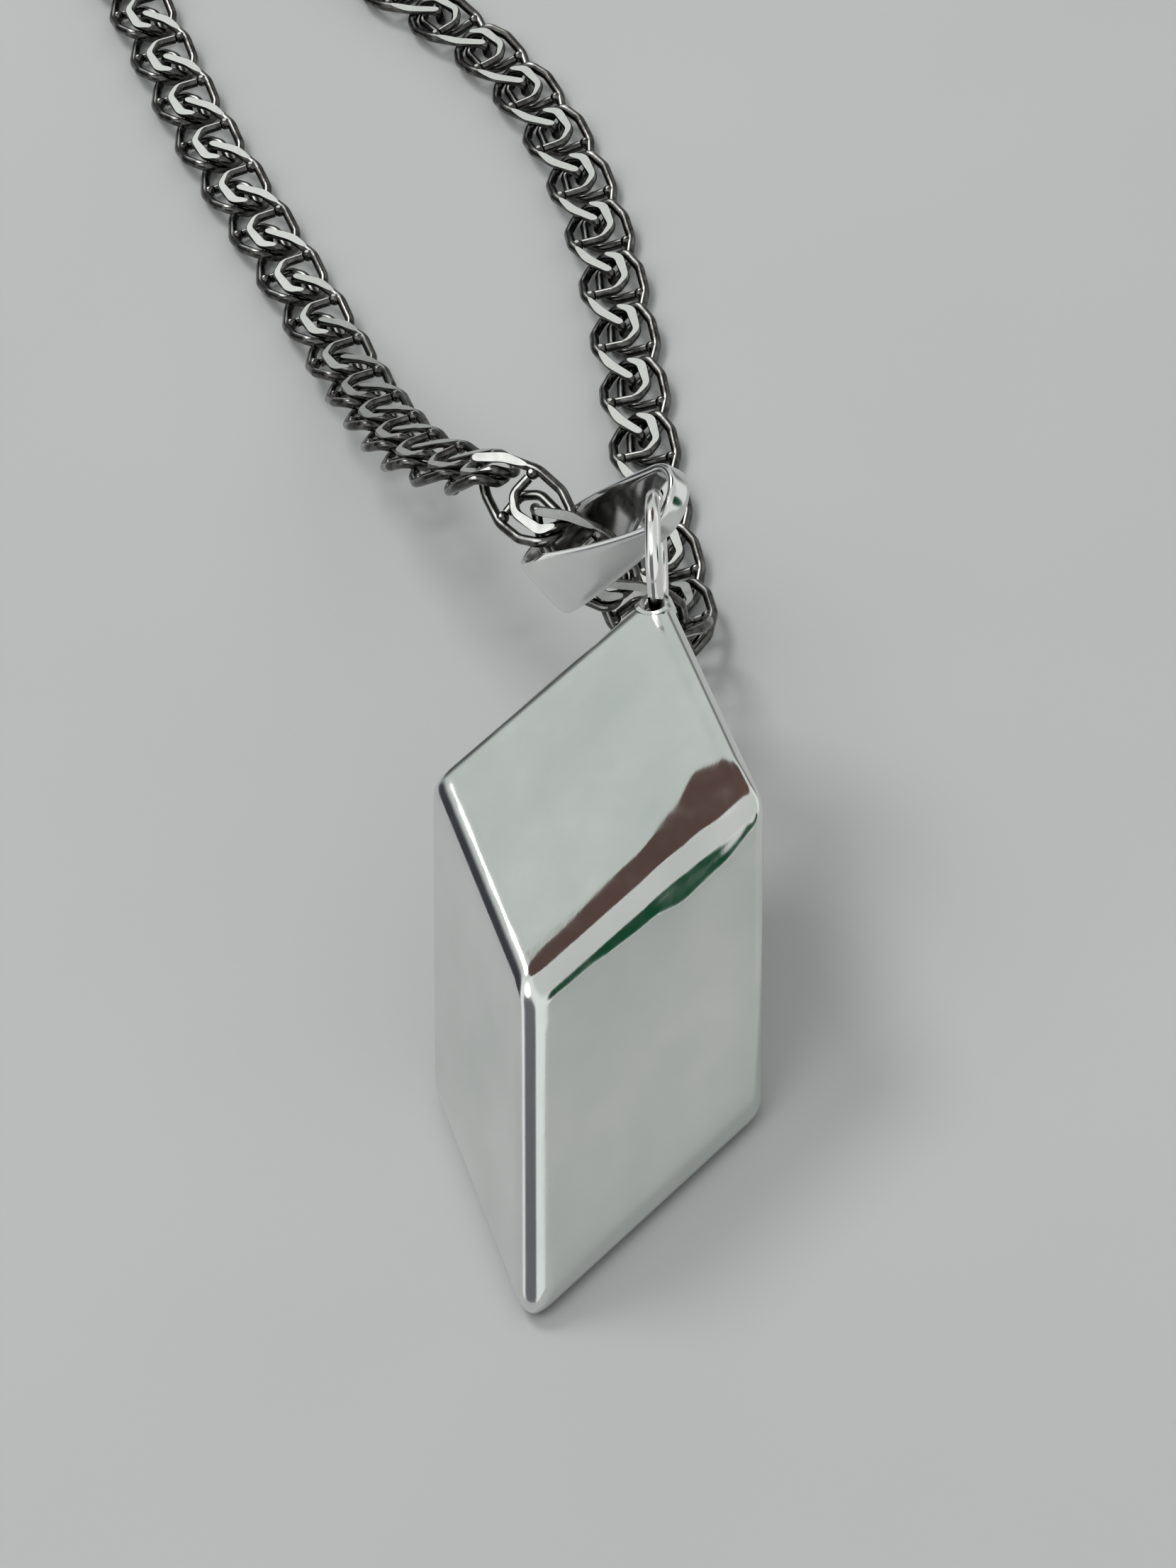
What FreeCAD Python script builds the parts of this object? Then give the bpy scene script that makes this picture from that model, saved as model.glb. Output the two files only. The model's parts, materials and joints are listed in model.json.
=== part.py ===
import FreeCAD, Part
import math
import os

# Silver pendant on a love chain, lying open on a table.  Millimetres, +Z up, table top at z = 0.
# The origin is the middle of the face that the pendant rests on; -Y is the pendant's sharp
# lower corner, +Y is the way to its drilled corner and the chain.

V = FreeCAD.Vector

# ---- driving dimensions ------------------------------------------------------------------
EDGE = 15.0                 # edge of the six equal rhombic faces
CORNER_ANGLE = 60.0         # sharp angle of every face, degrees
SHEET = 0.5                 # thickness of the pressed silver shells
EDGE_ROUND = 0.7            # rounding of the outside edges

HOLE_SETBACK = 2.2          # drilled hole, from the sharp corner inwards
TUBE_OUTER_R = 0.85         # lining tube of the drilled hole
TUBE_INNER_R = 0.65

RING_R = 2.6                # jump ring, centre line
RING_WIRE_R = 0.36
RING_TURN = 9.0             # the ring hangs a little askew in its hole, degrees
RING_SWING = 10.0           # and a little to the left

BAIL_SHEET = 0.45           # bail: tapered strip folded to a loop
BAIL_WIDE = 3.0             # width of the strip round the chain
BAIL_NARROW = 1.1           # width of the strip at the jump ring

PITCH = 4.1                 # chain: distance from link to link
LINK_WIRE_R = 0.235
LINK_HALF_WIDTH = 1.48      # half width of a link, to the wire's centre
FACET_HEIGHT = 0.53         # ground flats, above and below the link's middle plane
SEAT = 0.8                  # a link's own origin, ahead of the point where two links meet
STRAND_LINKS = 45           # links of each strand outside the bail's fold
SEGMENT_LINKS = 3           # links that move together
CHAIN_Z = 0.72              # middle plane of a link that lies flat

END_RING_R = 1.25           # small rings at the chain's ends
END_RING_WIRE_R = 0.24
CLASP_RING_R = 2.3          # ring that the clasp closes on
CLASP_RING_WIRE_R = 0.32
END_LIFT = 0.93             # the small rings stand on edge and lift the last links by this much

CLASP_THICK = 1.9
CLASP_HOOK_R = 2.5          # outside of the hook
CLASP_HOOK_HOLE_R = 1.4
CLASP_EYE_R = 1.2           # tail eye
CLASP_EYE_HOLE_R = 0.7
CLASP_EYE_DISTANCE = 4.6
CLASP_PIN_R = 0.3
CLASP_SLOT = 0.9            # slot for the lever
RUNNING_FIT = 0.04          # radial clearance of the lever on its pin

# ---- small helpers -----------------------------------------------------------------------


def unit(vector):
    return vector * (1.0 / vector.Length)


def turn(vector, axis, degrees):
    return FreeCAD.Rotation(axis, degrees).multVec(vector)


def frame(origin, side, forward, normal):
    """Placement whose x, y and z axes are side, forward and normal."""
    matrix = FreeCAD.Matrix(side.x, forward.x, normal.x, origin.x,
                            side.y, forward.y, normal.y, origin.y,
                            side.z, forward.z, normal.z, origin.z,
                            0, 0, 0, 1)
    return FreeCAD.Placement(matrix)


def placed(shape, placement):
    copy = shape.copy()
    copy.Placement = placement.multiply(copy.Placement)
    return copy


def wire_ring(centre, axis, ring_r, wire_r):
    return Part.makeTorus(ring_r, wire_r, centre, axis)


def save(name, shape):
    shape.exportStep("parts/" + name + ".step")


def rounded_wire(points, radii):
    """Lines through the points with an arc of the given radius at each inner point."""
    edges = []
    start = points[0]
    # an arc may use just under half of a line, or just under all of the first or last line
    rooms = [(there - here).Length * 0.499 for here, there in zip(points, points[1:])]
    rooms[0] *= 2
    rooms[-1] *= 2
    for number, radius in enumerate(radii):
        before, corner, after = points[number:number + 3]
        back = unit(before - corner)
        ahead = unit(after - corner)
        half = back.getAngle(ahead) / 2
        reach = min(radius / math.tan(half), rooms[number], rooms[number + 1])
        radius = reach * math.tan(half)
        first = corner + back * reach
        last = corner + ahead * reach
        inward = unit(back + ahead)
        centre = corner + inward * math.hypot(radius, reach)
        middle = centre - inward * radius
        edges.append(Part.makeLine(start, first))
        edges.append(Part.Arc(first, middle, last).toShape())
        start = last
    edges.append(Part.makeLine(start, points[-1]))
    return Part.Wire(edges)


# ---- pendant body ------------------------------------------------------------------------

half_angle = math.radians(CORNER_ANGLE / 2)
long_half = EDGE * math.cos(half_angle)
short_half = EDGE * math.sin(half_angle)
# the third edge leans in by this much while it goes down by the body's height
lean = EDGE * math.cos(2 * half_angle) / math.cos(half_angle)
height = math.sqrt(EDGE ** 2 - lean ** 2)

# the rest face's middle is the origin
top_corner = V(0, long_half + lean, height)
edge_left = V(-short_half, -long_half, 0)
edge_right = V(short_half, -long_half, 0)
edge_down = V(0, -lean, -height)

upper_left = top_corner + edge_left
upper_right = top_corner + edge_right
upper_front = upper_left + edge_right
lower_back = top_corner + edge_down
lower_left = upper_left + edge_down
lower_right = upper_right + edge_down
bottom_corner = upper_front + edge_down
body_middle = (top_corner + bottom_corner) * 0.5
body_axis = unit(top_corner - bottom_corner)

UPPER_FACES = [(top_corner, upper_left, upper_front, upper_right),
               (top_corner, lower_back, lower_left, upper_left),
               (top_corner, upper_right, lower_right, lower_back)]
LOWER_FACES = [(bottom_corner, lower_right, upper_right, upper_front),
               (bottom_corner, upper_front, upper_left, lower_left),
               (bottom_corner, lower_left, lower_back, lower_right)]
BELT = [upper_left, upper_front, upper_right, lower_right, lower_back, lower_left]


def solid_of(faces):
    shells = [Part.Face(Part.makePolygon(list(face) + [face[0]])) for face in faces]
    solid = Part.Solid(Part.makeShell(shells))
    if solid.Volume < 0:
        solid.reverse()
    return solid


def scaled(point, factor):
    return body_middle + (point - body_middle) * factor


def rhombohedron(factor, rounding):
    faces = [[scaled(point, factor) for point in face] for face in UPPER_FACES + LOWER_FACES]
    solid = solid_of(faces)
    return solid.makeFillet(rounding, solid.Edges)


def upper_wedge():
    """Everything of the body on the drilled corner's side of the belt of six edges."""
    reach = 1.6
    faces = [[scaled(point, reach) for point in face] for face in UPPER_FACES]
    belt = [scaled(point, reach) for point in BELT]
    for here, there in zip(belt, belt[1:] + belt[:1]):
        faces.append([body_middle, here, there])
    return solid_of(faces)


outer = rhombohedron(1.0, EDGE_ROUND)
inner = rhombohedron(1 - 2 * SHEET / height, EDGE_ROUND - SHEET / 2)
hole_axis = turn(body_axis, V(1, 0, 0), 90)
hole_middle = top_corner - body_axis * HOLE_SETBACK
HOLE_REACH = 6.0
hole_start = hole_middle - hole_axis * HOLE_REACH
tube_core = Part.makeCylinder(TUBE_OUTER_R, 2 * HOLE_REACH, hole_start, hole_axis)
hole = Part.makeCylinder(TUBE_INNER_R, 2 * HOLE_REACH, hole_start, hole_axis)
shell = outer.cut(inner).cut(tube_core)
wedge = upper_wedge()
save_list = {
    "upper_shell": shell.common(wedge),
    "lower_shell": shell.cut(wedge),
    "apex_tube": outer.common(tube_core).cut(hole),
}

# ---- jump ring ---------------------------------------------------------------------------

ring_out = turn(body_axis, hole_axis, RING_SWING)
ring_middle = hole_middle + ring_out * RING_R
ring_axis = turn(turn(V(1, 0, 0), hole_axis, RING_SWING), ring_out, RING_TURN)
save_list["jump_ring"] = wire_ring(ring_middle, ring_axis, RING_R, RING_WIRE_R)

# ---- chain link --------------------------------------------------------------------------
# A link is one wire in two equal legs; the second leg is the first turned by half a turn
# about the link's long axis.  Local x is sideways, y is along the chain, z is up.  The legs
# meet in an upright bend at the front, which stands in the middle of the next link.

DRAWN_PITCH = 5.4           # the points below are for this pitch
DRAWN_HALF_WIDTH = 1.85
STEP = PITCH / DRAWN_PITCH
SIDE = LINK_HALF_WIDTH / DRAWN_HALF_WIDTH
LEG_POINTS = [
    (0.00, 5.45, 0.00, 0.0),     # middle of the upright front bend
    (0.00, 5.45, 0.50, 0.4),
    (1.15, 3.80, 0.60, 2.0),     # long stroke over the next link
    (1.85, 1.65, 0.30, 2.0),     # outer arc
    (1.80, -0.20, -0.15, 1.2),
    (1.10, -1.90, -0.45, 0.8),   # dips under the stroke of the link behind
    (0.05, -1.75, 0.40, 0.6),    # crosses over the other leg
    (-0.70, -1.15, 0.60, 0.7),   # inner arc
    (-0.85, 0.90, 0.45, 0.9),
    (-0.10, 1.85, 0.40, 0.8),
    (1.15, 1.80, 0.35, 0.0),     # end, soldered to the outer arc
]
SOLDER_R = 0.3


def make_link():
    points = [V(x * SIDE, y * STEP, z * STEP) for x, y, z, r in LEG_POINTS]
    radii = [r * STEP for x, y, z, r in LEG_POINTS][1:-1]
    half_turn = FreeCAD.Placement(V(0, 0, 0), FreeCAD.Rotation(V(0, 1, 0), 180))
    back = [half_turn.multVec(point) for point in reversed(points)]
    path = rounded_wire(back[:-1] + points[1:], list(reversed(radii)) + radii)
    start = path.Edges[0]
    along = start.tangentAt(start.FirstParameter)
    profile = Part.Wire(Part.makeCircle(LINK_WIRE_R, back[0], along))
    body = path.makePipeShell([profile], True, False)
    outer_arc = V(points[3].x, points[-1].y, points[3].z)
    solder = points[-1] + (outer_arc - points[-1]) * 0.5
    blobs = [Part.makeSphere(SOLDER_R, solder), Part.makeSphere(SOLDER_R, half_turn.multVec(solder))]
    size = 4 * PITCH
    slab = Part.makeBox(size, size, 2 * FACET_HEIGHT, V(-size / 2, -size / 2, -FACET_HEIGHT))
    return body.fuse(blobs).common(slab)


# ---- chain -------------------------------------------------------------------------------
# Two links meet at a joint point on the chain's middle line.  The chain is walked from the
# free right end to the free left end, so a frame's forward axis always points that way.

# middle line of the right strand, from the fold at the bail to the free end (x, y, lift)
RIGHT_LINE = [(-3.5, 31.2, 0), (-5.3, 35.6, 0), (-8.4, 44.0, 0), (-13.0, 56.0, 0),
              (-19.4, 67.0, 0), (-24.2, 72.0, 0), (-30.5, 76.8, 0), (-37, 84, 0), (-41, 94, 0),
              (-39, 106, 0), (-31, 117, 0), (-19, 127, 0), (-10, 139, 0), (-7, 153, 0), (-10, 167, 0),
              (-18, 178, 0.15), (-29, 185, 1.0), (-40, 190, 2.2)]
# middle line of the left strand, after the slope down from the bail
LEFT_LINE = [(-29.2, 54.1, 0), (-35.8, 63.2, 0), (-43, 74.5, 0), (-53.5, 90, 0), (-68, 111, 0),
             (-74.5, 124, 0), (-78, 138, 0), (-78, 152, 0), (-74, 165, 0), (-66, 175, 0.1),
             (-56, 182, 0.7), (-45, 187, 1.6)]
SLOPE_LINE = [V(-15.0, 32.6, 7.8), V(-17.9, 36.8, 5.4), V(-20.7, 41.2, 3.2), V(-23.4, 45.5, 1.6),
              V(-26.2, 49.8, 0.85)]
# turns of each link of the fold against the one before it, about its own three axes
FOLD_TURNS = [V(14, 6, 0), V(35, 8, -7), V(35, 8, -7), V(35, 8, -7), V(35, 8, -7), V(44, 30, 0)]
FOLD_SLIP = 0.18            # slack across the chain that a tightly folded link takes up
UNTWIST_LINKS = 4           # the left strand untwists over this many links after the fold


def lifted(stations):
    return [V(x, y, CHAIN_Z + lift * END_LIFT) for x, y, lift in stations]


def line_through(points):
    curve = Part.BSplineCurve()
    curve.interpolate(points)
    return curve


def joint_points(curve, count):
    """Points along the curve, one pitch apart."""
    points = [curve.value(curve.FirstParameter)]
    for number in range(1, count + 1):
        points.append(curve.value(curve.parameterAtDistance(number * PITCH, curve.FirstParameter)))
    return points


def link_frames(points, normals):
    """Each link as (joint point, side, forward, normal)."""
    frames = []
    for here, there, normal in zip(points, points[1:], normals):
        forward = unit(there - here)
        upward = unit(normal - forward * normal.dot(forward))
        frames.append((here, forward.cross(upward), forward, upward))
    return frames


def walk_fold(start, forward):
    """The folded links, each turned against the last, and the joint point after them."""
    normal = V(0, 0, 1)
    side = forward.cross(normal)
    point = start
    frames = []
    for turns in FOLD_TURNS:
        axis = unit(side * turns.x + forward * turns.y + normal * turns.z)
        side = turn(side, axis, turns.Length)
        forward = turn(forward, axis, turns.Length)
        normal = turn(normal, axis, turns.Length)
        point = point + normal * (FOLD_SLIP * turns.x / FOLD_TURNS[1].x)
        frames.append((point, side, forward, normal))
        point = point + forward * PITCH
    return frames, point


right_points = joint_points(line_through(lifted(RIGHT_LINE)), STRAND_LINKS)
right_points.reverse()
right_frames = link_frames(right_points, [V(0, 0, 1)] * STRAND_LINKS)
fold_frames, fold_end = walk_fold(right_points[-1], right_frames[-1][2])

left_points = joint_points(line_through([fold_end] + SLOPE_LINE + lifted(LEFT_LINE)), STRAND_LINKS)
fold_normal = fold_frames[-1][3]
left_normals = []
for number in range(STRAND_LINKS):
    share = min(1.0, (number + 1) / UNTWIST_LINKS)
    left_normals.append(fold_normal * (1 - share) + V(0, 0, -1) * share)
left_frames = link_frames(left_points, left_normals)

chain_frames = right_frames + fold_frames + left_frames
link = make_link()


def link_placement(link_frame):
    point, side, forward, normal = link_frame
    return frame(point + forward * SEAT, side, forward, normal)


right_segments = STRAND_LINKS // SEGMENT_LINKS
for first in range(0, len(chain_frames), SEGMENT_LINKS):
    number = first // SEGMENT_LINKS
    if number < right_segments:
        name = "chain_right_%02d" % (right_segments - number)
    elif first < STRAND_LINKS + len(FOLD_TURNS):
        name = "chain_centre_%d" % (number - right_segments + 1)
    else:
        name = "chain_left_%02d" % (number - right_segments - len(FOLD_TURNS) // SEGMENT_LINKS + 1)
    links = [placed(link, link_placement(item)) for item in chain_frames[first:first + SEGMENT_LINKS]]
    save_list[name] = Part.makeCompound(links)

# ---- bail --------------------------------------------------------------------------------
# A strip bent to a pear-shaped loop, wide and round about the chain and narrow at the jump
# ring.  The loop is twisted about its long axis, so that each end lies square to what it holds.

BAIL_BIG_R = 2.0            # inside, round the chain
BAIL_SMALL_R = 1.35         # inside, round the jump ring's wire
BAIL_LINK = 3               # the folded link that runs through the bail
BAIL_BIG_STEPS = 16         # sections round the ends of the loop
BAIL_SMALL_STEPS = 12
RING_PULL = 3               # the small end turns this much more to the ring than to the chain


def pear_stations(distance):
    """(arc's middle, radius, angle) round the inside line, along +X from the big end."""
    corner = math.pi / 2 - math.asin((BAIL_BIG_R - BAIL_SMALL_R) / distance)
    stations = []
    for number in range(BAIL_BIG_STEPS + 1):
        angle = corner + (2 * math.pi - 2 * corner) * number / BAIL_BIG_STEPS
        stations.append((0.0, BAIL_BIG_R, angle))
    stations.append((distance / 2, (BAIL_BIG_R + BAIL_SMALL_R) / 2, -corner))
    for number in range(BAIL_SMALL_STEPS + 1):
        stations.append((distance, BAIL_SMALL_R, -corner + 2 * corner * number / BAIL_SMALL_STEPS))
    stations.append((distance / 2, (BAIL_BIG_R + BAIL_SMALL_R) / 2, corner))
    return stations


def make_bail(distance, twist):
    """The loop's big end lies in the local XY plane with the chain's middle at the origin."""
    sections = []
    for middle_x, radius, angle in pear_stations(distance):
        outward = V(math.cos(angle), math.sin(angle), 0)
        share = middle_x / distance
        half_width = (BAIL_WIDE + (BAIL_NARROW - BAIL_WIDE) * share) / 2
        corners = []
        for rise, side in ((0, -1), (BAIL_SHEET, -1), (BAIL_SHEET, 1), (0, 1)):
            corner = V(middle_x, 0, 0) + outward * (radius + rise) + V(0, 0, half_width * side)
            corners.append(turn(corner, V(1, 0, 0), twist * share))
        sections.append(Part.makePolygon(corners + corners[:1]))
    return Part.makeLoft(sections, True, True, True)


def across_part(vector, direction):
    return unit(vector - direction * vector.dot(direction))


hold_point, hold_side, hold_forward, hold_normal = fold_frames[BAIL_LINK]
chain_middle = hold_point + hold_forward * (PITCH / 2)
ring_turned = turn(hole_axis, ring_out, RING_TURN)
ring_far = ring_middle + ring_out * RING_R
bail_long = unit(ring_far - chain_middle)
big_through = across_part(hold_forward, bail_long)
ring_side = across_part(ring_turned, bail_long)
small_through = unit(ring_side * RING_PULL + big_through)
twist_angle = math.degrees(math.atan2(big_through.cross(small_through).dot(bail_long),
                                      big_through.dot(small_through)))
bail_place = frame(chain_middle, bail_long, big_through.cross(bail_long), big_through)
save_list["bail"] = placed(make_bail((ring_far - chain_middle).Length, twist_angle), bail_place)

# ---- chain end rings, clasp ring and clasp -------------------------------------------------
HAIRPIN_HOLD = 3.1          # on the last link, from its origin forward to the ring's wire
CROSSING_HOLD = -0.35       # on the first link, where the ring's wire stands
CLASP_RING_TILT = 14        # the clasp ring slopes down from the raised end ring to the table
CLASP_TILT = 4


def end_frame(link_frame, sign):
    """Origin of the link, outward direction and normal at a free end."""
    point, side, forward, normal = link_frame
    return point + forward * SEAT, forward * sign, side


first_origin, first_out, first_side = end_frame(chain_frames[0], -1)
right_ring_middle = first_origin + first_out * (END_RING_R - CROSSING_HOLD)
save_list["right_end_ring"] = wire_ring(right_ring_middle, first_side, END_RING_R, END_RING_WIRE_R)

last_origin, last_out, last_side = end_frame(chain_frames[-1], 1)
left_ring_middle = last_origin + last_out * (HAIRPIN_HOLD + END_RING_R)
save_list["left_end_ring"] = wire_ring(left_ring_middle, last_side, END_RING_R, END_RING_WIRE_R)


def level_frame(origin, outward, tilt):
    """Frame with x outward and tilted down, y level, z up."""
    level = unit(V(0, 0, 1).cross(outward))
    outward = turn(unit(V(outward.x, outward.y, 0)), level, tilt)
    return frame(origin, outward, level, outward.cross(level))


CLASP_RING_SET = 0.5        # its wire sits this far beyond the small ring's middle
clasp_ring_place = level_frame(right_ring_middle + first_out * CLASP_RING_SET, first_out, CLASP_RING_TILT)
save_list["clasp_ring"] = placed(wire_ring(V(CLASP_RING_R, 0, 0), V(0, 0, 1), CLASP_RING_R,
                                           CLASP_RING_WIRE_R), clasp_ring_place)

CLASP_EYE_THICK = 0.9
CLASP_EYE_SET = 0.2         # eye's middle, beyond the small ring's far wire
CLASP_NECK = 1.5            # width of the neck between eye and hook
NOSE_THIN_FROM = 8          # the nose of the hook is thinned from here to its end, degrees
NOSE_END = 45
NOSE_SHARE = 0.64           # the lever's tip takes this share of the hook's width inside the nose
LEVER_STEP = 62             # the lever is thinned to the same share up to here
GATE_TO = 118               # the lever enters its slot here
GATE_GAP = 0.06
SLOT_END = 156
PIN_ANGLE = 128             # the lever's pin, on the hook's middle line
LEVER_R = 0.62              # radius of the lever's knuckle
TAB_ANGLE = 96              # thumb tab on the lever
TAB_WIDTH = 0.8
TAB_REACH = 1.5
TAB_ROOT_DEPTH = 0.2        # the tab starts this far inside the lever's arm
LEAF_FROM = 150.4           # the leaf spring stands in the slot between these angles
LEAF_TO = 153.6
LEAF_MARGIN = 0.1           # clearance of the leaf in the slot


def puck(radius, thickness, x=0.0, y=0.0):
    return Part.makeCylinder(radius, thickness, V(x, y, -thickness / 2))


def sector(radius, thickness, start, stop):
    """Pie slice about the local Z axis."""
    slice_shape = Part.makeCylinder(radius, thickness, V(0, 0, -thickness / 2), V(0, 0, 1), stop - start)
    slice_shape.rotate(V(0, 0, 0), V(0, 0, 1), start)
    return slice_shape


def on_circle(radius, degrees):
    return V(radius * math.cos(math.radians(degrees)), radius * math.sin(math.radians(degrees)), 0)


hook_mid_r = (CLASP_HOOK_R + CLASP_HOOK_HOLE_R) / 2
pin_centre = on_circle(hook_mid_r, PIN_ANGLE)
lever_tip_r = CLASP_HOOK_HOLE_R + NOSE_SHARE * (CLASP_HOOK_R - CLASP_HOOK_HOLE_R) - GATE_GAP
lever_thick = CLASP_SLOT - 2 * GATE_GAP
hook_ring = puck(CLASP_HOOK_R, CLASP_THICK).cut(puck(CLASP_HOOK_HOLE_R, 2 * CLASP_THICK))


def make_clasp_body():
    eye = puck(CLASP_EYE_R, CLASP_EYE_THICK, -CLASP_EYE_DISTANCE)
    neck_start = -CLASP_EYE_DISTANCE + CLASP_EYE_HOLE_R
    neck_length = CLASP_EYE_DISTANCE - CLASP_EYE_HOLE_R - hook_mid_r
    neck = Part.makeBox(neck_length, CLASP_NECK, CLASP_EYE_THICK,
                        V(neck_start, -CLASP_NECK / 2, -CLASP_EYE_THICK / 2))
    body = hook_ring.fuse([eye, neck])
    body = body.cut(puck(CLASP_EYE_HOLE_R, CLASP_THICK, -CLASP_EYE_DISTANCE))
    gate = sector(2 * CLASP_HOOK_R, 2 * CLASP_THICK, NOSE_END, GATE_TO)
    tip_room = puck(lever_tip_r + GATE_GAP, 2 * CLASP_THICK).common(
        sector(2 * CLASP_HOOK_R, 2 * CLASP_THICK, NOSE_THIN_FROM, NOSE_END + 1))
    slot = sector(2 * CLASP_HOOK_R, CLASP_SLOT, GATE_TO - 1, SLOT_END)
    pin_hole = Part.makeCylinder(CLASP_PIN_R, 2 * CLASP_THICK, pin_centre - V(0, 0, CLASP_THICK))
    return body.cut(gate).cut(tip_room).cut(slot).cut(pin_hole)


def make_clasp_lever():
    arm = hook_ring.common(sector(2 * CLASP_HOOK_R, lever_thick, NOSE_END - 4, PIN_ANGLE))
    step = sector(2 * CLASP_HOOK_R, CLASP_THICK, NOSE_END - 5, LEVER_STEP)
    arm = arm.cut(step.cut(puck(lever_tip_r, 2 * CLASP_THICK)))
    knuckle = puck(LEVER_R, lever_thick, pin_centre.x, pin_centre.y)
    tab_root = on_circle(CLASP_HOOK_R - TAB_ROOT_DEPTH, TAB_ANGLE)
    tab = Part.makeBox(TAB_WIDTH, TAB_REACH, lever_thick,
                       tab_root + V(-TAB_WIDTH / 2, 0, -lever_thick / 2))
    lever = arm.fuse([knuckle, tab])
    bore = puck(CLASP_PIN_R + RUNNING_FIT, CLASP_THICK, pin_centre.x, pin_centre.y)
    return lever.cut(bore)


def make_clasp_pin():
    return Part.makeCylinder(CLASP_PIN_R, CLASP_THICK, pin_centre - V(0, 0, CLASP_THICK / 2))


def make_clasp_spring():
    """Leaf spring that stands across the closed end of the slot, behind the lever's knuckle."""
    leaf = puck(CLASP_HOOK_R - LEAF_MARGIN, CLASP_SLOT - 2 * LEAF_MARGIN)
    leaf = leaf.cut(puck(CLASP_HOOK_HOLE_R + LEAF_MARGIN, CLASP_THICK))
    return leaf.common(sector(CLASP_HOOK_R, CLASP_THICK, LEAF_FROM, LEAF_TO))


eye_middle = left_ring_middle + last_out * (END_RING_R + CLASP_EYE_SET)
clasp_place = level_frame(eye_middle, last_out, CLASP_TILT)
clasp_shift = FreeCAD.Placement(V(CLASP_EYE_DISTANCE, 0, 0), FreeCAD.Rotation())
clasp_place = clasp_place.multiply(clasp_shift)
save_list["clasp_body"] = placed(make_clasp_body(), clasp_place)
save_list["clasp_lever"] = placed(make_clasp_lever(), clasp_place)
save_list["clasp_pin"] = placed(make_clasp_pin(), clasp_place)
save_list["clasp_spring"] = placed(make_clasp_spring(), clasp_place)

# ---- write the parts ---------------------------------------------------------------------

os.makedirs("parts", exist_ok=True)
for node_name, node_shape in save_list.items():
    save(node_name, node_shape)
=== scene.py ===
import json
import math

import bmesh
import bpy
import numpy
from mathutils import Matrix, Vector, noise


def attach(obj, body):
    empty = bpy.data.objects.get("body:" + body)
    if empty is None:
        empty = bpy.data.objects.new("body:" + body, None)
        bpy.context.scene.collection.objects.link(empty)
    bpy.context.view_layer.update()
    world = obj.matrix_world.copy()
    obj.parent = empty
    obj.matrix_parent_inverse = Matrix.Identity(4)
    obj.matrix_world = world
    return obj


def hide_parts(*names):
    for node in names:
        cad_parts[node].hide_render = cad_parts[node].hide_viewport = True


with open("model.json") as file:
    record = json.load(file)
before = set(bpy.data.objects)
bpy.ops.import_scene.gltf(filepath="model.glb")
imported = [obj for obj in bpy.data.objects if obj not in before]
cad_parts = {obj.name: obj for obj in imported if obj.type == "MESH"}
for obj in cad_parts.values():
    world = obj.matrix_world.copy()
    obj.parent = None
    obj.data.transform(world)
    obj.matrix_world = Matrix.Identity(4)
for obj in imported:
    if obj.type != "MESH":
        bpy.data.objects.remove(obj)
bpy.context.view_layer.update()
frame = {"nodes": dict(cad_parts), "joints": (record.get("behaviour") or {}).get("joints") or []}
JOINTS = {joint["name"]: joint for joint in frame["joints"]}

# ---- driving dimensions, in metres ---------------------------------------------------------
MM = 0.001
EDGE = 15.0 * MM            # the pendant's edge; its rest face's middle is the frame's origin
CORNER_ANGLE = math.radians(60)
EDGE_ROUND = 0.68 * MM
CORNER_DEPTH = 1.0 * MM     # the tips of the corners are worn down over this depth
CORNER_WEAR = 0.7           # share of the slope lost at the very tip
TUBE_OUTER_R = 0.85 * MM    # the lining tube of the drilled corner stays a CAD part
DISH_DEPTH = 0.06 * MM      # the pressed faces are dished and a little wavy
WAVE_DEPTH = 0.020 * MM
WAVE_SIZE = 5.5 * MM
WAVE_PLACE = (3.1, 0.7, 2.3)    # where the wave noise is read; the first is per direction
ROUND_SEGMENTS = 8          # faces round each worn edge
MESH_CUTS = 79              # cuts along each edge, so that the faces can bend
FACE_SKIN = 0.004           # a vertex nearer to a face than this share of the body lies on it
FACE_INSET = 0.06           # share of the body from which the rounded edges are left behind
# the upper and the right-hand face fall away towards the edge between them, over a strip whose
# width changes along the edge: (share of the edge's length from the front corner, width)
UPPER_STRIP = [(0.0, 0.9), (0.12, 1.3), (0.5, 1.75), (0.68, 2.5), (0.80, 3.3), (0.92, 2.7),
               (1.0, 1.2)]
RIGHT_STRIP = [(0.0, 0.8), (0.2, 1.0), (0.5, 1.3), (0.65, 1.7), (0.8, 1.5), (1.0, 0.9)]
UPPER_TILT = math.tan(math.radians(8))
RIGHT_TILT = math.tan(math.radians(11))
STRIP_BLEND = 0.2           # share of the strip's width over which it bends
SKIN = 0.14                 # share of the body's depth that moves with a face's strip
DRILL_DEPTH = 12.0 * MM
DRILL_SEGMENTS = 64
RIM_ANGLE = math.radians(35)        # edges bent more than this stay sharp, after drilling
BODY_SHARP_ANGLE = math.radians(60)     # and before

BAIL_SHEET = 0.45 * MM
BAIL_WIDE = 3.0 * MM
BAIL_NARROW = 1.1 * MM
BAIL_BIG_R = 2.0 * MM
BAIL_SMALL_R = 1.35 * MM
BAIL_STEPS = 36             # sections in each quarter of the loop
BAIL_POINTS = 28            # points round the band's section
BAIL_SIDE_POWER = 0.45      # the section is a flat oval with blunt sides
BAIL_DOME_POWER = 0.8

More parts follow.
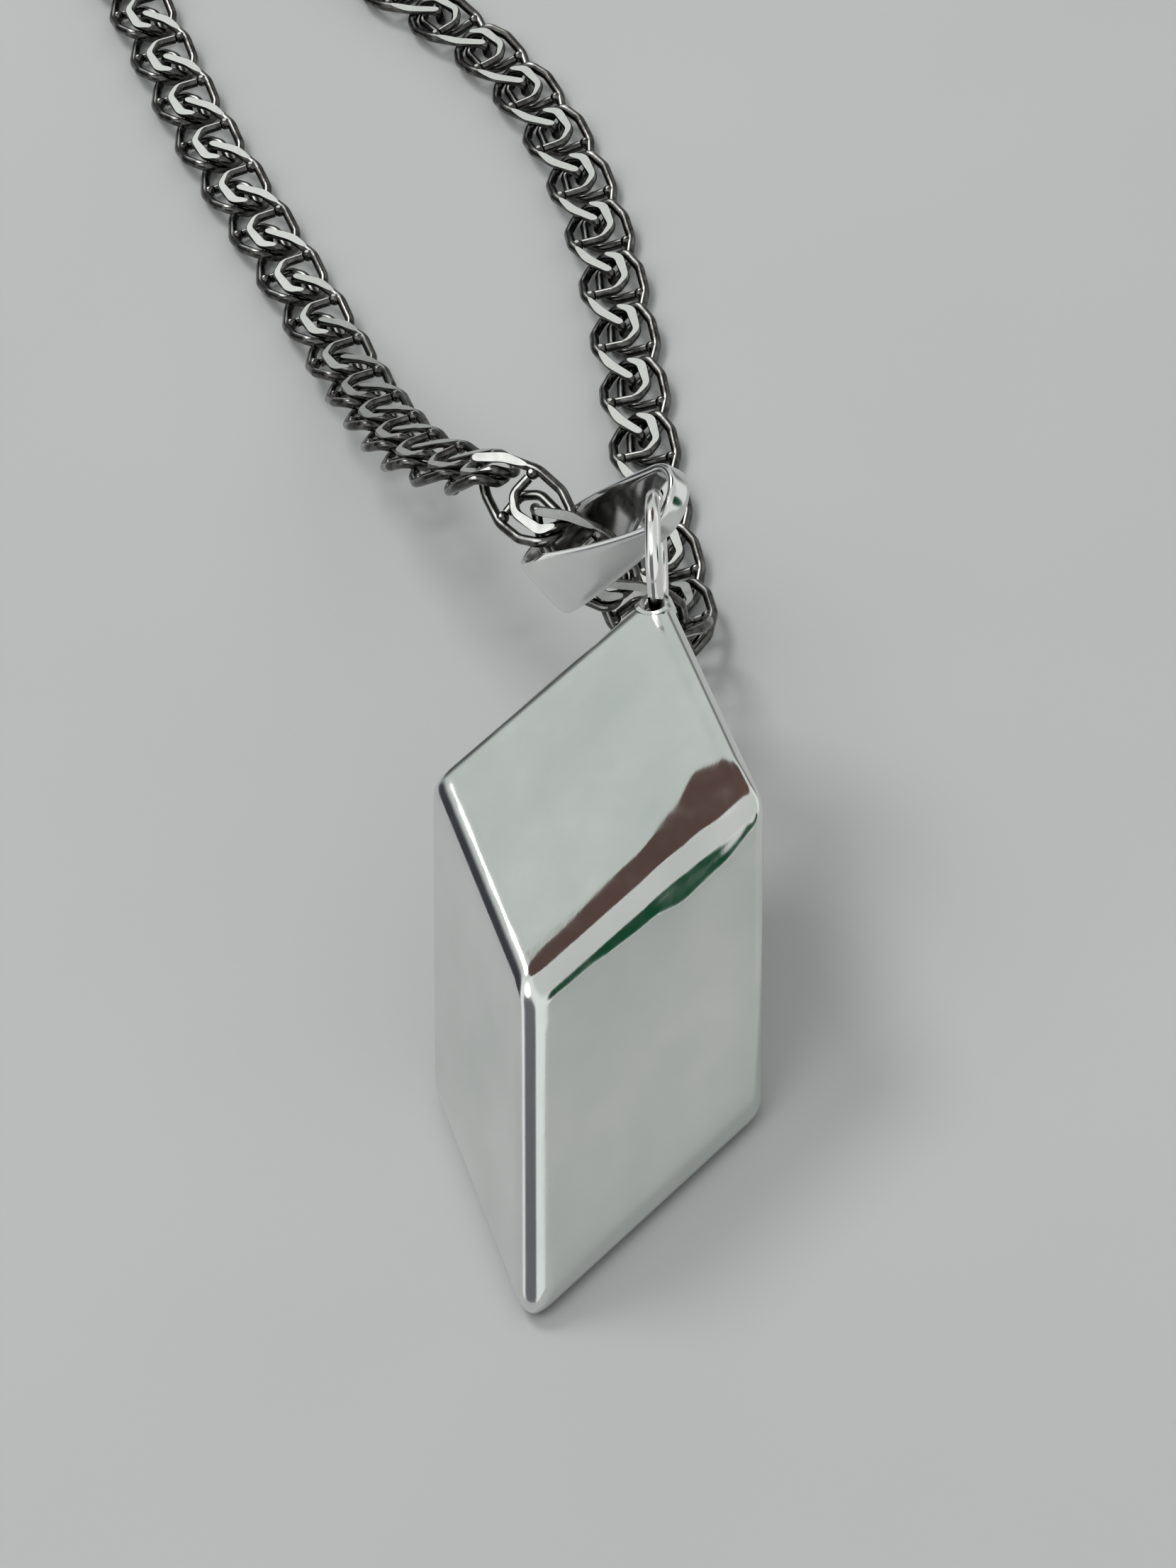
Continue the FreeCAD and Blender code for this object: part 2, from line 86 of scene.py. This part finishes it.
WELD_GRID = 1e6             # vertices on one point of a grid this fine, per metre, are one
FACING_STEPS = 12           # fineness with which facing directions are told apart
FLAT_COSINES = (0.965, 0.988)           # of a link's own direction, side of wire to ground flat
LINK_REACH = (3.2 * MM, 3.6 * MM)       # from a link's middle, where its direction counts
SOFT_EDGE = 0.10 * MM       # rounding of the clasp's cast edges

# sizes of the silver's marks
CLOUD_SIZE = 4.0 * MM
SMUDGE_SIZE = 1.5 * MM
SCRATCH_SIZE = 0.12 * MM
STAIN_AND_REFLECTION_SIZE = 0.5 * MM
GRINDING_SIZE = 0.08 * MM
GRINDING_DEPTH = 0.004 * MM
# reach of the painted shade in the hollows of the polished silver
HOLLOW_REACH = 0.6 * MM
# reach of the painted shade in the chain's hollows
LINK_HOLLOW_REACH = 0.8 * MM

# colours, linear
# painted shade in the hollows of the polished silver
HOLLOW_SHADE_GREY = (0.30, 0.29, 0.28)
SIDE_REFLECTION_GREY = (0.15, 0.145, 0.14)         # round sides of the links, painted grey to black as dark reflection of the room
SIDE_REFLECTION_BLACK = (0.035, 0.034, 0.033)
GROUND_BRIGHT = (0.77, 0.78, 0.75)      # ground flats of the links
GROUND_DULL = (0.60, 0.61, 0.59)
# painted shade in the chain's hollows
LINK_HOLLOW = (0.025, 0.023, 0.023)
TABLE_LIGHT = (0.535, 0.540, 0.538)
TABLE_SHADE = (0.500, 0.506, 0.508)

# ---- stage, in metres ----------------------------------------------------------------------
TABLE_HALF = 1.5
TABLE_PATCH = 60 * MM
# what the silver sees round it: (direction, inner and outer angle, colour)
ROOM = [
    ((-0.278, 0.665, 0.693), 26, 48, (0.60, 0.635, 0.615)),     # the ceiling ahead
    ((-1.0, 0.2, 0.12), 16, 34, (0.05, 0.05, 0.06)),            # dark, low on the left
    ((-0.25, -0.9, 0.35), 18, 36, (0.15, 0.15, 0.165)),         # the viewer's side
    ((0.3, 1.0, 0.05), 8, 26, (0.20, 0.20, 0.20)),              # low, far away
    ((-0.52, 0.85, 0.08), 12, 24, (0.10, 0.10, 0.105)),         # low, far away on the left
    ((0.66, 0.16, 0.74), 18, 36, (0.62, 0.635, 0.63)),          # the ceiling on the right
    ((0.0, 0.505, 0.863), 15.5, 17, (0.105, 0.062, 0.053)),     # brown, above and ahead
    ((0.97, -0.05, 0.22), 8, 14, (0.006, 0.06, 0.028)),         # green, low on the right
    ((-0.28, -0.45, 0.85), 14, 20, (2.2, 2.2, 2.2)),            # a lamp above the viewer
]
SKY = (0.86, 0.88, 0.87)
SKY_STRENGTH = 0.95
WINDOW_PLACE = (-0.35, 0.30, 0.60)      # a round soft light that faces the origin
WINDOW_SIZE = 0.25
WINDOW_POWER = 1.6          # watts
CAMERA_PLACE = Vector((75.12, -172.1, 200.15)) * MM
CAMERA_RIGHT = Vector((0.9592, 0.2302, -0.1641))
CAMERA_UP = Vector((-0.0506, 0.7107, 0.7016))
CAMERA_LENS = 146.5         # millimetres, as is the sensor
CAMERA_SENSOR = 36.0


# ---- materials -----------------------------------------------------------------------------

class Nodes:
    """Short way to build a material's node tree."""

    def __init__(self, name):
        self.material = bpy.data.materials.new(name)
        self.material.use_nodes = True
        self.tree = self.material.node_tree
        self.shader = self.tree.nodes["Principled BSDF"]
        self.position = self.tree.nodes.new("ShaderNodeTexCoord").outputs["Object"]

    def link(self, source, target):
        self.tree.links.new(source, target)

    def noise(self, size, detail=3.0, stretch=(1, 1, 1)):
        """Noise whose features are about size metres across."""
        mapping = self.tree.nodes.new("ShaderNodeMapping")
        mapping.inputs["Scale"].default_value = stretch
        self.link(self.position, mapping.inputs["Vector"])
        texture = self.tree.nodes.new("ShaderNodeTexNoise")
        texture.inputs["Scale"].default_value = 1.0 / size
        texture.inputs["Detail"].default_value = detail
        self.link(mapping.outputs["Vector"], texture.inputs["Vector"])
        return texture.outputs["Fac"]

    def ramp(self, source, low, high, start, stop):
        """Source from low to high becomes start to stop."""
        node = self.tree.nodes.new("ShaderNodeMapRange")
        node.inputs["From Min"].default_value = low
        node.inputs["From Max"].default_value = high
        node.inputs["To Min"].default_value = start
        node.inputs["To Max"].default_value = stop
        self.link(source, node.inputs["Value"])
        return node.outputs["Result"]

    def mix(self, share, first, second):
        node = self.tree.nodes.new("ShaderNodeMix")
        node.data_type = "RGBA"
        self.link(share, node.inputs["Factor"])
        for value, socket in ((first, node.inputs["A"]), (second, node.inputs["B"])):
            if isinstance(value, tuple):
                socket.default_value = (*value, 1.0)
            else:
                self.link(value, socket)
        return node.outputs["Result"]

    def math(self, operation, first, second):
        node = self.tree.nodes.new("ShaderNodeMath")
        node.operation = operation
        for value, socket in zip((first, second), node.inputs):
            if isinstance(value, (int, float)):
                socket.default_value = value
            else:
                self.link(value, socket)
        return node.outputs["Value"]

    def vector_math(self, operation, source, fixed):
        node = self.tree.nodes.new("ShaderNodeVectorMath")
        node.operation = operation
        node.inputs[1].default_value = fixed
        self.link(source, node.inputs[0])
        return node.outputs["Value"]

    def bump(self, height, depth):
        node = self.tree.nodes.new("ShaderNodeBump")
        node.inputs["Distance"].default_value = depth
        self.link(height, node.inputs["Height"])
        self.link(node.outputs["Normal"], self.shader.inputs["Normal"])

    def occlusion(self, distance):
        node = self.tree.nodes.new("ShaderNodeAmbientOcclusion")
        node.inputs["Distance"].default_value = distance
        node.samples = 8
        return node.outputs["AO"]


def polished_silver(name, light, shade, rough_low, rough_high, scratch_depth,
                    hollow_reach=HOLLOW_REACH, hollow_shade_colour=HOLLOW_SHADE_GREY):
    """Polished silver with cloudy smudges, fine polishing scratches and painted shade in the
    hollows.
    """
    nodes = Nodes(name)
    clouds = nodes.noise(CLOUD_SIZE, 4.0, (1.0, 0.5, 1.0))
    # the hollows are painted darker, as shade
    hollow = nodes.ramp(nodes.occlusion(hollow_reach), 0.25, 0.8, 1.0, 0.0)
    colour = nodes.mix(nodes.ramp(clouds, 0.3, 0.7, 0.0, 1.0), light, shade)
    nodes.link(nodes.mix(hollow, colour, hollow_shade_colour), nodes.shader.inputs["Base Color"])
    smudge = nodes.noise(SMUDGE_SIZE, 5.0)
    rough = nodes.ramp(smudge, 0.3, 0.7, rough_low, rough_high)
    nodes.link(rough, nodes.shader.inputs["Roughness"])
    nodes.shader.inputs["Metallic"].default_value = 1.0
    nodes.bump(nodes.noise(SCRATCH_SIZE, 2.0, (1.0, 0.08, 1.0)), scratch_depth)
    return nodes.material


def chain_silver(name, facets):
    """Bright ground flats, round sides painted dark as dark reflection, and hollows painted near
    black as shade.
    """
    nodes = Nodes(name)
    geometry = nodes.tree.nodes.new("ShaderNodeNewGeometry")
    world_to_object = nodes.tree.nodes.new("ShaderNodeVectorTransform")
    world_to_object.vector_type = "NORMAL"
    world_to_object.convert_from = "WORLD"
    world_to_object.convert_to = "OBJECT"
    nodes.link(geometry.outputs["True Normal"], world_to_object.inputs["Vector"])
    flat = None
    for middle, direction in facets:
        facing = nodes.vector_math("DOT_PRODUCT", world_to_object.outputs["Vector"], direction)
        level = nodes.ramp(nodes.math("ABSOLUTE", facing, 0.0), *FLAT_COSINES, 0.0, 1.0)
        far = nodes.vector_math("DISTANCE", nodes.position, middle)
        level = nodes.math("MULTIPLY", level, nodes.ramp(far, *LINK_REACH, 1.0, 0.0))
        flat = level if flat is None else nodes.math("MAXIMUM", flat, level)
    # the chain's hollows are painted near black, as shade, and less on the ground flats
    hollow = nodes.ramp(nodes.occlusion(LINK_HOLLOW_REACH), 0.20, 0.85, 1.0, 0.0)
    # this noise varies the flats' tone, and how dark the painted reflection on the sides is
    stain_and_reflection = nodes.noise(STAIN_AND_REFLECTION_SIZE, 4.0)
    # round sides painted dark, as dark reflection of the room
    side = nodes.mix(nodes.ramp(stain_and_reflection, 0.35, 0.65, 0.0, 1.0), SIDE_REFLECTION_GREY, SIDE_REFLECTION_BLACK)
    ground = nodes.mix(nodes.ramp(stain_and_reflection, 0.3, 0.7, 0.0, 1.0), GROUND_BRIGHT, GROUND_DULL)
    colour = nodes.mix(flat, side, ground)
    dark = nodes.math("MULTIPLY", hollow, nodes.ramp(flat, 0.0, 1.0, 0.95, 0.30))
    nodes.link(nodes.mix(dark, colour, LINK_HOLLOW), nodes.shader.inputs["Base Color"])
    rough = nodes.ramp(stain_and_reflection, 0.3, 0.7, 0.16, 0.30)
    nodes.link(nodes.math("ADD", rough, nodes.math("MULTIPLY", flat, 0.18)),
               nodes.shader.inputs["Roughness"])
    nodes.shader.inputs["Metallic"].default_value = 1.0
    nodes.bump(nodes.noise(GRINDING_SIZE, 2.0, (1.0, 0.15, 1.0)), GRINDING_DEPTH)
    return nodes.material


# ---- object and mesh helpers ---------------------------------------------------------------

def put_material(piece, material):
    piece.data.materials.clear()
    piece.data.materials.append(material)


def add_object(name, data):
    thing = bpy.data.objects.new(name, data)
    bpy.context.scene.collection.objects.link(thing)
    return thing


def add_mesh_object(name, builder):
    mesh = bpy.data.meshes.new(name)
    builder.to_mesh(mesh)
    builder.free()
    return add_object(name, mesh)


def mark_sharp_edges(builder, sharp_angle):
    for edge in builder.edges:
        edge.smooth = edge.calc_face_angle(0.0) < sharp_angle


def finished_piece(name, builder, material, sharp_angle=math.radians(40)):
    """Object from a bmesh, with smooth faces and sharp creases."""
    for face in builder.faces:
        face.smooth = True
    mark_sharp_edges(builder, sharp_angle)
    piece = add_mesh_object(name, builder)
    put_material(piece, material)
    return piece


def joint_place(name):
    return Vector(JOINTS[name]["pos_m"]), Vector(JOINTS[name]["axis"]).normalized()


# ---- pendant body --------------------------------------------------------------------------

def pendant_corners():
    """The eight corners of the rhombohedron, resting on one face whose middle is the origin."""
    long_half = EDGE * math.cos(CORNER_ANGLE / 2)
    short_half = EDGE * math.sin(CORNER_ANGLE / 2)
    lean = EDGE * math.cos(CORNER_ANGLE) / math.cos(CORNER_ANGLE / 2)
    height = math.sqrt(EDGE ** 2 - lean ** 2)
    top = Vector((0, long_half + lean, height))
    left = Vector((-short_half, -long_half, 0))
    right = Vector((short_half, -long_half, 0))
    down = Vector((0, -lean, -height))
    return {(a, b, c): top + left * a + right * b + down * c
            for a in (0, 1) for b in (0, 1) for c in (0, 1)}


def make_pendant_body(material):
    corners = pendant_corners()
    builder = bmesh.new()
    vertices = {key: builder.verts.new(place) for key, place in corners.items()}
    for fixed in range(3):
        for side in (0, 1):
            ring = []
            for first, second in ((0, 0), (1, 0), (1, 1), (0, 1)):
                key = [first, second]
                key.insert(fixed, side)
                ring.append(vertices[tuple(key)])
            builder.faces.new(ring)
    bmesh.ops.recalc_face_normals(builder, faces=builder.faces)
    bmesh.ops.bevel(builder, geom=list(builder.edges), offset=EDGE_ROUND, offset_type="OFFSET",
                    segments=ROUND_SEGMENTS, profile=0.5, affect="EDGES")
    long_edges = [edge for edge in builder.edges if edge.calc_length() > EDGE / 2]
    bmesh.ops.subdivide_edges(builder, edges=long_edges, cuts=MESH_CUTS, use_grid_fill=True)
    shape_faces(builder, corners)
    body = finished_piece("pendant_body", builder, material, BODY_SHARP_ANGLE)
    drill(body)
    return body


def strip_width(strip, share):
    """Width of a bent strip at a share of the edge's length."""
    for (before, first), (after, second) in zip(strip, strip[1:]):
        if share <= after:
            part = max(0.0, share - before) / (after - before)
            part = part * part * (3 - 2 * part)
            return (first + (second - first) * part) * MM
    return strip[-1][1] * MM


def strip_fall(strip, tilt, share, inset):
    """How far a face has fallen at a distance from the edge it falls away to."""
    width = strip_width(strip, share)
    part = 1 - inset / width
    if part <= 0:
        return 0.0
    if part < STRIP_BLEND:
        return tilt * width * part * part / (2 * STRIP_BLEND)
    return tilt * width * (part - STRIP_BLEND / 2)


def shape_faces(builder, corners):
    """Dishes each face, gives it long soft waves and bends the two strips along one edge."""
    top = corners[0, 0, 0]
    axes = [corners[1, 0, 0] - top, corners[0, 1, 0] - top, corners[0, 0, 1] - top]
    to_shares = Matrix([axes[0], axes[1], axes[2]]).transposed().inverted()
    upper_normal = axes[0].cross(axes[1]).normalized()
    right_normal = axes[2].cross(axes[0]).normalized()
    if upper_normal.z < 0:
        upper_normal.negate()
    if right_normal.x < 0:
        right_normal.negate()
    inset_scale = EDGE * math.sin(CORNER_ANGLE)
    wave_step, wave_y, wave_z = WAVE_PLACE
    builder.normal_update()
    moves = []
    for vertex in builder.verts:
        shares = to_shares @ (vertex.co - top)
        depths = sorted((min(s, 1 - s), n) for n, s in enumerate(shares))
        across = depths[0][1]
        move = Vector((0, 0, 0))
        if depths[0][0] < FACE_SKIN and depths[1][0] > FACE_INSET:
            window = 1.0
            for number, share in enumerate(shares):
                if number != across:
                    window *= math.sin(math.pi * min(1.0, max(0.0, share)))
            wave = noise.noise(vertex.co / WAVE_SIZE + Vector((across * wave_step, wave_y, wave_z)))
            move += vertex.normal * window * (WAVE_DEPTH * wave - DISH_DEPTH)
        along = min(1.0, max(0.0, 1 - shares[0]))
        upper_skin = 1 - min(1.0, max(0.0, shares[2] / SKIN))
        if upper_skin > 0:
            inset = max(0.0, 1 - shares[1]) * inset_scale
            move -= upper_normal * upper_skin * strip_fall(UPPER_STRIP, UPPER_TILT, along, inset)
        right_skin = 1 - min(1.0, max(0.0, (1 - shares[1]) / SKIN))
        if right_skin > 0:
            inset = max(0.0, shares[2]) * inset_scale
            move -= right_normal * right_skin * strip_fall(RIGHT_STRIP, RIGHT_TILT, along, inset)
        moves.append((vertex, move))
    for vertex, move in moves:
        vertex.co += move
    middle = (corners[0, 0, 0] + corners[1, 1, 1]) / 2
    for corner in corners.values():
        wear_corner(builder, middle, (corner - middle).normalized())


def wear_corner(builder, middle, outward):
    """Presses the tip of a corner in, more the nearer to the tip."""
    heights = [(vertex.co - middle).dot(outward) for vertex in builder.verts]
    base = max(heights) - CORNER_DEPTH
    for vertex, height in zip(builder.verts, heights):
        if height > base:
            proud = height - base
            vertex.co -= outward * (CORNER_WEAR * proud * proud / (2 * CORNER_DEPTH))


def drill(body):
    """Cuts the round seat of the lining tube through the sharp corner."""
    place, axis = joint_place("ring_swing")
    builder = bmesh.new()
    bmesh.ops.create_cone(builder, cap_ends=True, segments=DRILL_SEGMENTS,
                          radius1=TUBE_OUTER_R, radius2=TUBE_OUTER_R, depth=DRILL_DEPTH)
    turn = Vector((0, 0, 1)).rotation_difference(axis).to_matrix().to_4x4()
    bmesh.ops.transform(builder, matrix=Matrix.Translation(place) @ turn, verts=builder.verts)
    tool = add_mesh_object("drill", builder)
    cut = body.modifiers.new("drilled", "BOOLEAN")
    cut.operation = "DIFFERENCE"
    cut.solver = "EXACT"
    cut.object = tool
    bpy.context.view_layer.update()
    graph = bpy.context.evaluated_depsgraph_get()
    drilled = bpy.data.meshes.new_from_object(body.evaluated_get(graph))
    body.modifiers.remove(cut)
    body.data = drilled
    builder = bmesh.new()
    builder.from_mesh(drilled)
    mark_sharp_edges(builder, RIM_ANGLE)
    builder.to_mesh(drilled)
    builder.free()
    bpy.data.objects.remove(tool)


# ---- bail ----------------------------------------------------------------------------------

def pear_loop(distance, steps):
    """(share of the way to the small end, radius, angle) round the loop's inside line."""
    corner = math.pi / 2 - math.asin((BAIL_BIG_R - BAIL_SMALL_R) / distance)
    line = []
    for number in range(steps):
        line.append((0.0, BAIL_BIG_R, corner + (2 * math.pi - 2 * corner) * number / steps))
    for number in range(steps):
        share = number / steps
        line.append((share, BAIL_BIG_R + (BAIL_SMALL_R - BAIL_BIG_R) * share, -corner))
    for number in range(steps):
        line.append((1.0, BAIL_SMALL_R, -corner + 2 * corner * number / steps))
    for number in range(steps):
        share = 1 - number / steps
        line.append((share, BAIL_BIG_R + (BAIL_SMALL_R - BAIL_BIG_R) * share, corner))
    return line


def make_bail(material):
    """Tapered band of flat oval section, bent to a pear-shaped loop and twisted lengthwise."""
    chain_middle, big_through = joint_place("chain_swing")
    ring_place, small_through = joint_place("bail_swing")
    if big_through.dot(small_through) < 0:
        small_through.negate()
    along = ring_place - chain_middle
    distance = along.length
    long_axis = along.normalized()
    side_axis = big_through.cross(long_axis)
    twist = math.atan2(big_through.cross(small_through).dot(long_axis),
                       big_through.dot(small_through))
    section = []
    for number in range(BAIL_POINTS):
        angle = 2 * math.pi * number / BAIL_POINTS
        across = math.copysign(abs(math.cos(angle)) ** BAIL_SIDE_POWER, math.cos(angle))
        rise = math.copysign(abs(math.sin(angle)) ** BAIL_DOME_POWER, math.sin(angle))
        section.append((across, 0.5 + 0.5 * rise))
    builder = bmesh.new()
    rings = []
    for share, radius, angle in pear_loop(distance, BAIL_STEPS):
        half_width = (BAIL_WIDE + (BAIL_NARROW - BAIL_WIDE) * share) / 2
        turned = Matrix.Rotation(twist * share, 3, long_axis)
        ring = []
        for across, rise in section:
            reach = radius + BAIL_SHEET * rise
            place = (long_axis * (distance * share + reach * math.cos(angle))
                     + side_axis * (reach * math.sin(angle)) + big_through * (across * half_width))
            ring.append(builder.verts.new(chain_middle + turned @ place))
        rings.append(ring)
    for here, there in zip(rings, rings[1:] + rings[:1]):
        for number in range(BAIL_POINTS):
            after = (number + 1) % BAIL_POINTS
            builder.faces.new((here[number], here[after], there[after], there[number]))
    bmesh.ops.recalc_face_normals(builder, faces=builder.faces)
    return finished_piece("bail_band", builder, material)


# ---- chain ---------------------------------------------------------------------------------

def mesh_values(items, name, width, kind):
    """One property of all vertices, edges, faces or loops, as an array."""
    values = numpy.empty(len(items) * width, dtype=kind)
    items.foreach_get(name, values)
    return values.reshape(-1, width) if width > 1 else values


def link_numbers(mesh):
    """For every vertex, a number shared by all vertices of the same link; and its place."""
    places = mesh_values(mesh.vertices, "co", 3, numpy.float32)
    _, spot = numpy.unique(numpy.round(places * WELD_GRID), axis=0, return_inverse=True)
    spot = spot.reshape(-1)
    ends = spot[mesh_values(mesh.edges, "vertices", 2, numpy.int32)]
    owner = numpy.arange(spot.max() + 1)
    while True:
        before = owner.copy()
        least = numpy.minimum(owner[ends[:, 0]], owner[ends[:, 1]])
        numpy.minimum.at(owner, ends[:, 0], least)
        numpy.minimum.at(owner, ends[:, 1], least)
        owner = owner[owner]
        if (owner == before).all():
            return owner[spot], places


def link_facets(node):
    """Middle of every link of a chain piece, and the direction that most flat area faces."""
    mesh = node.data
    owner, places = link_numbers(mesh)
    normals = mesh_values(mesh.polygons, "normal", 3, numpy.float32)
    areas = mesh_values(mesh.polygons, "area", 1, numpy.float32)
    corners = mesh_values(mesh.loops, "vertex_index", 1, numpy.int32)
    starts = mesh_values(mesh.polygons, "loop_start", 1, numpy.int32)
    face_owner = owner[corners[starts]]
    normals = numpy.where(normals[:, 2:] < 0, -normals, normals)
    facets = []
    for number in numpy.unique(owner):
        inside = face_owner == number
        rounded = numpy.round(normals[inside] * FACING_STEPS)
        _, group = numpy.unique(rounded, axis=0, return_inverse=True)
        group = group.reshape(-1)
        chosen = group == numpy.bincount(group, weights=areas[inside]).argmax()
        direction = (normals[inside][chosen] * areas[inside][chosen][:, None]).sum(axis=0)
        middle = places[owner == number].mean(axis=0)
        facets.append((Vector(middle.tolist()), Vector(direction.tolist()).normalized()))
    return facets


# ---- stage, light and camera ---------------------------------------------------------------

def make_floor():
    builder = bmesh.new()
    bmesh.ops.create_grid(builder, x_segments=8, y_segments=8, size=TABLE_HALF)
    floor = add_mesh_object("table_top", builder)
    nodes = Nodes("pale_table")
    share = nodes.ramp(nodes.noise(TABLE_PATCH), 0.3, 0.7, 0.0, 1.0)
    nodes.link(nodes.mix(share, TABLE_LIGHT, TABLE_SHADE), nodes.shader.inputs["Base Color"])
    nodes.shader.inputs["Roughness"].default_value = 0.55
    nodes.shader.inputs["Specular IOR Level"].default_value = 0.3
    put_material(floor, nodes.material)


def world_patch(nodes, links, direction, inner, outer):
    """1 within the inner angle of a direction, falling to 0 at the outer angle, in degrees."""
    place = nodes.new("ShaderNodeTexCoord")
    dot = nodes.new("ShaderNodeVectorMath")
    dot.operation = "DOT_PRODUCT"
    dot.inputs[1].default_value = Vector(direction).normalized()
    links.new(place.outputs["Generated"], dot.inputs[0])
    ramp = nodes.new("ShaderNodeMapRange")
    ramp.interpolation_type = "SMOOTHSTEP"
    ramp.inputs["From Min"].default_value = math.cos(math.radians(outer))
    ramp.inputs["From Max"].default_value = math.cos(math.radians(inner))
    links.new(dot.outputs["Value"], ramp.inputs["Value"])
    return ramp.outputs["Result"]


def make_world():
    world = bpy.data.worlds.new("room")
    bpy.context.scene.world = world
    world.use_nodes = True
    nodes = world.node_tree.nodes
    links = world.node_tree.links
    background = nodes["Background"]
    colour = None
    for direction, inner, outer, patch_colour in ROOM:
        mix = nodes.new("ShaderNodeMix")
        mix.data_type = "RGBA"
        links.new(world_patch(nodes, links, direction, inner, outer), mix.inputs["Factor"])
        if colour is None:
            mix.inputs["A"].default_value = (*SKY, 1.0)
        else:
            links.new(colour, mix.inputs["A"])
        mix.inputs["B"].default_value = (*patch_colour, 1.0)
        colour = mix.outputs["Result"]
    links.new(colour, background.inputs["Color"])
    background.inputs["Strength"].default_value = SKY_STRENGTH


def make_light(name, place, target, size, power):
    light = bpy.data.lights.new(name, "AREA")
    light.shape = "DISK"
    light.size = size
    light.energy = power
    holder = add_object(name, light)
    holder.location = place
    holder.rotation_euler = (Vector(target) - Vector(place)).to_track_quat("-Z", "Y").to_euler()


def make_camera():
    """Looks down on the table from the pendant's lower right."""
    back = CAMERA_RIGHT.cross(CAMERA_UP).normalized()
    upward = back.cross(CAMERA_RIGHT).normalized()
    camera = bpy.data.cameras.new("camera")
    camera.sensor_fit = "VERTICAL"
    camera.sensor_height = CAMERA_SENSOR
    camera.lens = CAMERA_LENS
    camera.clip_start = 0.01
    holder = add_object("camera", camera)
    turn = Matrix([CAMERA_RIGHT, upward, back]).transposed().to_4x4()
    holder.matrix_world = Matrix.Translation(CAMERA_PLACE) @ turn
    bpy.context.scene.camera = holder


# ---- build ---------------------------------------------------------------------------------

body_silver = polished_silver("body_silver", (0.84, 0.85, 0.83), (0.72, 0.75, 0.73), 0.07, 0.17,
                              0.0015 * MM)
wire_silver = polished_silver("wire_silver", (0.93, 0.92, 0.91), (0.80, 0.79, 0.78), 0.06, 0.16,
                              0.002 * MM)
# the bail's inside is painted near black as shade, over a reach of 3 mm
bail_silver = polished_silver("bail_silver", (0.86, 0.86, 0.85), (0.70, 0.70, 0.70), 0.08, 0.20,
                              0.002 * MM, 3.0 * MM, (0.07, 0.06, 0.055))
clasp_silver = polished_silver("clasp_silver", (0.91, 0.90, 0.88), (0.78, 0.77, 0.75), 0.08, 0.20,
                               0.002 * MM)

pendant_body = make_pendant_body(body_silver)
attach(pendant_body, "pendant")
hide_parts("upper_shell", "lower_shell")

bail_band = make_bail(bail_silver)
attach(bail_band, "bail")
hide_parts("bail")

for name, node in frame["nodes"].items():
    if name.startswith("chain_"):
        put_material(node, chain_silver(name + "_silver", link_facets(node)))
    elif name == "jump_ring":
        put_material(node, wire_silver)
    elif name == "apex_tube":
        put_material(node, body_silver)
    elif name.startswith("clasp") or name.endswith("end_ring"):
        put_material(node, clasp_silver)
        if name in ("clasp_body", "clasp_lever"):
            soft = node.modifiers.new("soft_edges", "BEVEL")
            soft.width = SOFT_EDGE
            soft.segments = 3
            soft.limit_method = "ANGLE"

make_floor()
make_world()
make_light("window", WINDOW_PLACE, (0, 0, 0), WINDOW_SIZE, WINDOW_POWER)
make_camera()
bpy.context.scene.view_settings.view_transform = "Standard"
